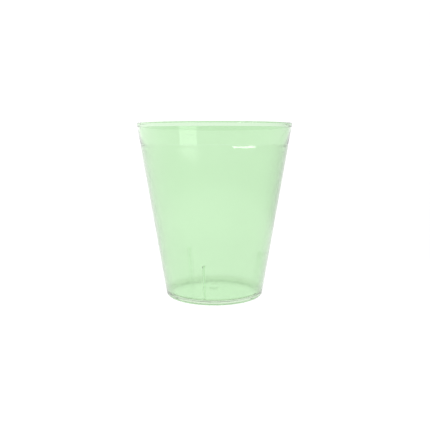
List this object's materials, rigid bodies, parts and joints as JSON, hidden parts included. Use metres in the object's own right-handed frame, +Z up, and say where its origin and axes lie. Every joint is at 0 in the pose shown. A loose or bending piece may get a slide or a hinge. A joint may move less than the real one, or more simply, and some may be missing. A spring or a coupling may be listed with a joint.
{
  "type": "florist bucket",
  "caption": "Tapered see-through green plastic florist bucket with a plain lip, glossy collar, stacking ledge, textured wall and inner spacer ribs.",
  "frame": {"origin": "centre of the foot, on the surface that the pot stands on", "axes": "+Z up along the axis of the turned walls; -Y faces the viewer of the picture"},
  "size_m": [0.1296, 0.1296, 0.146],
  "materials": {
    "clear_green": "clear, glossy, light green tint",
    "frosted_green": "see-through, with a fine stipple on the outside"
  },
  "bodies": {
    "root": {"rim_lip": "clear_green", "gloss_collar": "clear_green", "stacking_ledge": "clear_green", "textured_wall": "frosted_green", "heel_ring": "clear_green", "domed_floor": "clear_green", "spacer_rib_1": "clear_green", "spacer_rib_2": "clear_green", "spacer_rib_3": "clear_green"}
  },
  "joints": []
}
